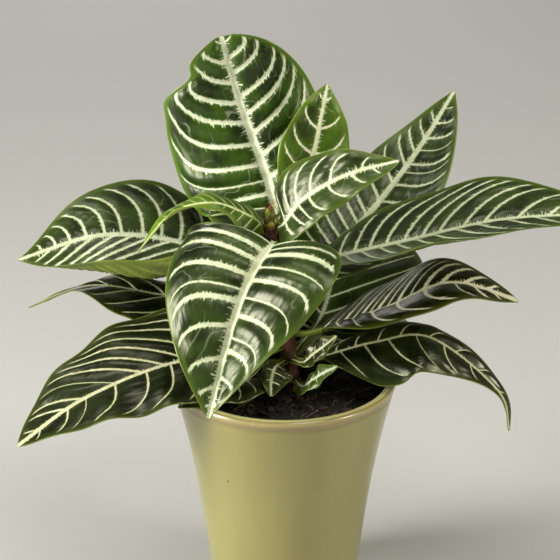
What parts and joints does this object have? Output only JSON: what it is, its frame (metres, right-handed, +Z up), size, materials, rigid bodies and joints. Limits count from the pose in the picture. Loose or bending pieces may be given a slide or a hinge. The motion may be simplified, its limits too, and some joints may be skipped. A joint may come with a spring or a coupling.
{
  "type": "potted zebra plant",
  "caption": "Zebra plant with broad dark green leaves and cream veins on one stem, in a flared pale green glazed ceramic pot",
  "frame": {"origin": "centre of the pot's flat bottom face", "axes": "+Z up along the pot's axis, -Y towards the side that the broad front leaf hangs on, +X towards the long right leaf"},
  "size_m": [0.3473, 0.2189, 0.357],
  "materials": {
    "pot": "satin glaze, pale olive green",
    "soil": "loose potting mix, nearly black, with bark bits",
    "stem": "dark reddish brown bark",
    "bud": "reddish brown and yellow green bracts",
    "leaf": "glossy dark green with cream veins"
  },
  "bodies": {
    "root": {"pot": "pot", "soil": "soil", "stem": "stem", "bud": "bud", "leaf_top_back": "leaf", "leaf_top_upright": "leaf", "leaf_top_right": "leaf", "leaf_top_left": "leaf", "leaf_front": "leaf", "leaf_right_upper": "leaf", "leaf_right_long": "leaf", "leaf_right_back": "leaf", "leaf_right_middle": "leaf", "leaf_right_low": "leaf", "leaf_right_small": "leaf", "leaf_left_long": "leaf", "leaf_left_narrow": "leaf", "leaf_left_low": "leaf", "leaf_left_rim": "leaf", "leaf_front_small": "leaf", "leaf_soil_small": "leaf", "leaf_back_high": "leaf", "leaf_back_left": "leaf", "leaf_back_low": "leaf", "leaf_back_right": "leaf", "leaf_left_back_low": "leaf"}
  },
  "joints": []
}
